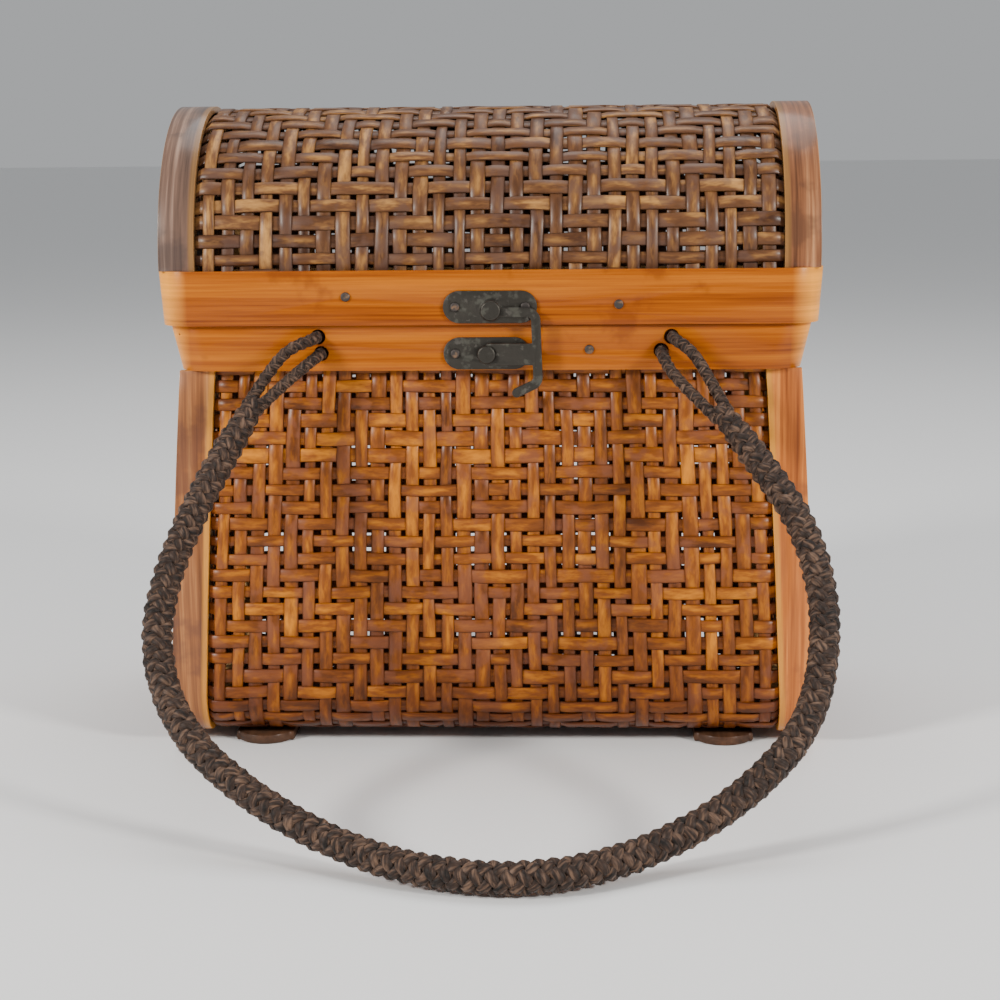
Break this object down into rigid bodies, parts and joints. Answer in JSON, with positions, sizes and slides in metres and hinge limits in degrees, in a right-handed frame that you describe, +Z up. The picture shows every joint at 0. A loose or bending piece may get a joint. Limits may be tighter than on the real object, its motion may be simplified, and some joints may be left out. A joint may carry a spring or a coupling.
{
  "type": "basket box bag",
  "caption": "Woven bamboo box bag with an arched hinged lid, a turning hook latch and a stiff braided handle.",
  "frame": {"origin": "on the floor under the middle of the bag, between its two runners", "axes": "+X to the bag's right seen from the front, front towards -Y, +Z up"},
  "size_m": [0.229, 0.2588, 0.2256],
  "materials": {
    "body_cane": "woven cane, orange-brown varnish",
    "lid_cane": "woven cane, smoky brown varnish",
    "hoop_bamboo": "bent bamboo, honey-orange varnish",
    "body_rib_bamboo": "bent bamboo slat, varnished",
    "lid_rib_bamboo": "bent bamboo slat, dark varnish",
    "inner_bamboo": "bare split bamboo",
    "runner_bamboo": "bamboo slat, worn",
    "hinge_metal": "dark aged brass",
    "latch_metal": "dark bronze with a green-grey patina",
    "nail_iron": "dark iron nail heads",
    "handle_cord": "braided waxed cord, dark brown"
  },
  "bodies": {
    "body": {"body_end_left": "body_cane", "body_end_right": "body_cane", "body_hoop": "hoop_bamboo", "body_hoop_nails": "nail_iron", "body_inner_hoop": "inner_bamboo", "body_inner_rib_left": "inner_bamboo", "body_inner_rib_right": "inner_bamboo", "body_panel": "body_cane", "body_rib_left": "body_rib_bamboo", "body_rib_right": "body_rib_bamboo", "handle_braid": "handle_cord", "handle_knot_left": "handle_cord", "handle_knot_right": "handle_cord", "handle_leg_left_inner": "handle_cord", "handle_leg_left_outer": "handle_cord", "handle_leg_right_inner": "handle_cord", "handle_leg_right_outer": "handle_cord", "hinge_left_lower_leaf": "hinge_metal", "hinge_left_pin": "hinge_metal", "hinge_lower_nails": "hinge_metal", "hinge_right_lower_leaf": "hinge_metal", "hinge_right_pin": "hinge_metal", "latch_lower_nails": "latch_metal", "latch_lower_plate": "latch_metal", "latch_post": "latch_metal", "runner_left": "runner_bamboo", "runner_right": "runner_bamboo"},
    "lid": {"hinge_left_upper_leaf": "hinge_metal", "hinge_right_upper_leaf": "hinge_metal", "hinge_upper_nails": "hinge_metal", "latch_pivot": "latch_metal", "latch_upper_nails": "latch_metal", "latch_upper_plate": "latch_metal", "lid_end_left": "lid_cane", "lid_end_right": "lid_cane", "lid_hoop": "hoop_bamboo", "lid_hoop_nails": "nail_iron", "lid_inner_hoop": "inner_bamboo", "lid_inner_rib_left": "inner_bamboo", "lid_inner_rib_right": "inner_bamboo", "lid_panel": "lid_cane", "lid_rib_left": "lid_rib_bamboo", "lid_rib_right": "lid_rib_bamboo"},
    "hook": {"latch_hook": "latch_metal"}
  },
  "joints": [
    {"name": "lid_hinge", "type": "hinge", "parent": "body", "child": "lid", "pos_m": [0, 0.0591, 0.1506], "axis": [-1, 0, 0], "range_deg": [0, 105]},
    {"name": "latch_swing", "type": "hinge", "parent": "lid", "child": "hook", "pos_m": [0.0011, -0.0596, 0.1558], "axis": [0, -1, 0], "range_deg": [0, 100]}
  ]
}
